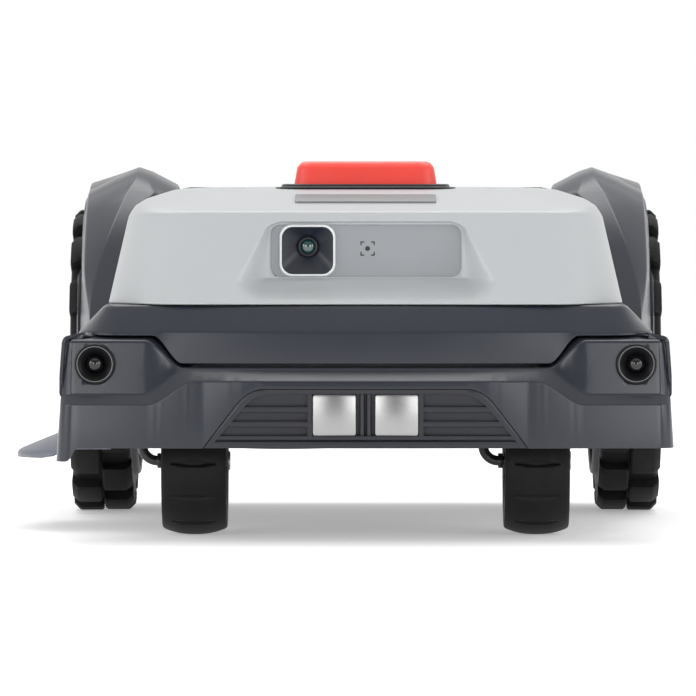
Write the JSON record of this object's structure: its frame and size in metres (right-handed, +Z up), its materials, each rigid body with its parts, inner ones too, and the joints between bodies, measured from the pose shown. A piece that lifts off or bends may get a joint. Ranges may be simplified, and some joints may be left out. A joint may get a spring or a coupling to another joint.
{
  "type": "robotic lawn mower",
  "caption": "Wheeled robotic mower with a sprung bumper, vision window, stop button, swivelling casters and a height-adjusted blade disc under the hull.",
  "frame": {"origin": "centre of the bounding box's footprint, on the ground", "axes": "+Z up, front bumper faces -Y, the mower's left side is +X"},
  "size_m": [0.531, 0.638, 0.2963],
  "materials": {
    "light_plastic": "fine satin moulding grain",
    "charcoal_plastic": "fine moulding grain",
    "black_plastic": "satin to gloss",
    "grey_plastic": "satin",
    "red_plastic": "satin",
    "white_plastic": "satin",
    "wheel_rubber": "matte, moulded blocks",
    "caster_rubber": "matte",
    "lens_glass": "polished, faint teal coating",
    "bare_steel": "brushed",
    "contact_steel": "polished contact face",
    "name_metal": "brushed",
    "motor_case": "painted can",
    "cell_case": "sealed pack",
    "circuit_board": "bare board"
  },
  "bodies": {
    "chassis": {"chassis_tub": "charcoal_plastic", "chassis_lid": "charcoal_plastic", "deck_tower": "charcoal_plastic", "height_motor": "motor_case", "battery_pack": "cell_case", "battery_cover": "charcoal_plastic", "main_board": "circuit_board", "left_drive_motor": "motor_case", "right_drive_motor": "motor_case", "left_caster_socket": "black_plastic", "right_caster_socket": "black_plastic", "front_shell": "charcoal_plastic", "hood": "light_plastic", "left_fender": "charcoal_plastic", "right_fender": "charcoal_plastic", "rear_panel": "charcoal_plastic", "side_guard": "charcoal_plastic", "camera_panel": "grey_plastic", "camera_bezel": "white_plastic", "camera_barrel": "black_plastic", "camera_lens": "lens_glass", "nameplate": "name_metal", "button_base": "black_plastic"},
    "bumper": {"bumper": "charcoal_plastic", "bumper_grille": "charcoal_plastic", "left_contact_plate": "contact_steel", "right_contact_plate": "contact_steel", "left_sensor_ring": "black_plastic", "right_sensor_ring": "black_plastic", "left_sensor_dome": "lens_glass", "right_sensor_dome": "lens_glass"},
    "stop_button": {"stop_button": "red_plastic"},
    "left_drive_wheel": {"left_drive_tyre": "wheel_rubber", "left_drive_rim": "grey_plastic", "left_hub_cap": "charcoal_plastic"},
    "left_caster": {"left_caster_fork": "bare_steel", "left_caster_clip": "bare_steel"},
    "left_caster_wheel": {"left_caster_tyre": "caster_rubber", "left_caster_hub": "grey_plastic"},
    "right_drive_wheel": {"right_drive_tyre": "wheel_rubber", "right_drive_rim": "grey_plastic", "right_hub_cap": "charcoal_plastic"},
    "right_caster": {"right_caster_fork": "bare_steel", "right_caster_clip": "bare_steel"},
    "right_caster_wheel": {"right_caster_tyre": "caster_rubber", "right_caster_hub": "grey_plastic"},
    "cutting_head": {"lift_carriage": "grey_plastic", "cutting_motor": "motor_case"},
    "blade_disc": {"blade_disc": "black_plastic", "blade_screw_1": "bare_steel", "blade_screw_2": "bare_steel", "blade_screw_3": "bare_steel"},
    "skid_plate": {"skid_plate": "charcoal_plastic"},
    "blade_1": {"blade_1": "bare_steel"},
    "blade_2": {"blade_2": "bare_steel"},
    "blade_3": {"blade_3": "bare_steel"}
  },
  "joints": [
    {"name": "left_drive_spin", "type": "hinge", "parent": "chassis", "child": "left_drive_wheel", "pos_m": [0.2395, 0.177, 0.128], "axis": [1, 0, 0], "continuous": true},
    {"name": "right_drive_spin", "type": "hinge", "parent": "chassis", "child": "right_drive_wheel", "pos_m": [-0.2045, 0.177, 0.128], "axis": [1, 0, 0], "continuous": true},
    {"name": "left_caster_swivel", "type": "hinge", "parent": "chassis", "child": "left_caster", "pos_m": [0.1532, -0.214, 0.128], "axis": [0, 0, 1], "continuous": true},
    {"name": "left_caster_roll", "type": "hinge", "parent": "left_caster", "child": "left_caster_wheel", "pos_m": [0.1532, -0.186, 0.0585], "axis": [1, 0, 0], "continuous": true},
    {"name": "right_caster_swivel", "type": "hinge", "parent": "chassis", "child": "right_caster", "pos_m": [-0.1182, -0.214, 0.128], "axis": [0, 0, 1], "continuous": true},
    {"name": "right_caster_roll", "type": "hinge", "parent": "right_caster", "child": "right_caster_wheel", "pos_m": [-0.1182, -0.186, 0.0585], "axis": [1, 0, 0], "continuous": true},
    {"name": "bumper_press", "type": "slide", "parent": "chassis", "child": "bumper", "axis": [0, 1, 0], "range_m": [0, 0.005], "stiffness_N_per_m": 3000},
    {"name": "stop_button_press", "type": "slide", "parent": "chassis", "child": "stop_button", "axis": [0, 0, -1], "range_m": [0, 0.003], "stiffness_N_per_m": 1500, "springref_m": -0.001},
    {"name": "deck_lift", "type": "slide", "parent": "chassis", "child": "cutting_head", "axis": [0, 0, 1], "range_m": [-0.034, 0]},
    {"name": "blade_disc_spin", "type": "hinge", "parent": "cutting_head", "child": "blade_disc", "pos_m": [-0.0485, 0.001, 0.074], "axis": [0, 0, 1], "continuous": true},
    {"name": "skid_plate_spin", "type": "hinge", "parent": "cutting_head", "child": "skid_plate", "pos_m": [-0.0485, 0.001, 0.066], "axis": [0, 0, 1], "continuous": true},
    {"name": "blade_1_swing", "type": "hinge", "parent": "blade_disc", "child": "blade_1", "pos_m": [-0.0485, 0.073, 0.071], "axis": [0, 0, 1], "continuous": true},
    {"name": "blade_2_swing", "type": "hinge", "parent": "blade_disc", "child": "blade_2", "pos_m": [-0.11085, -0.035, 0.071], "axis": [0, 0, 1], "continuous": true},
    {"name": "blade_3_swing", "type": "hinge", "parent": "blade_disc", "child": "blade_3", "pos_m": [0.01385, -0.035, 0.071], "axis": [0, 0, 1], "continuous": true}
  ]
}
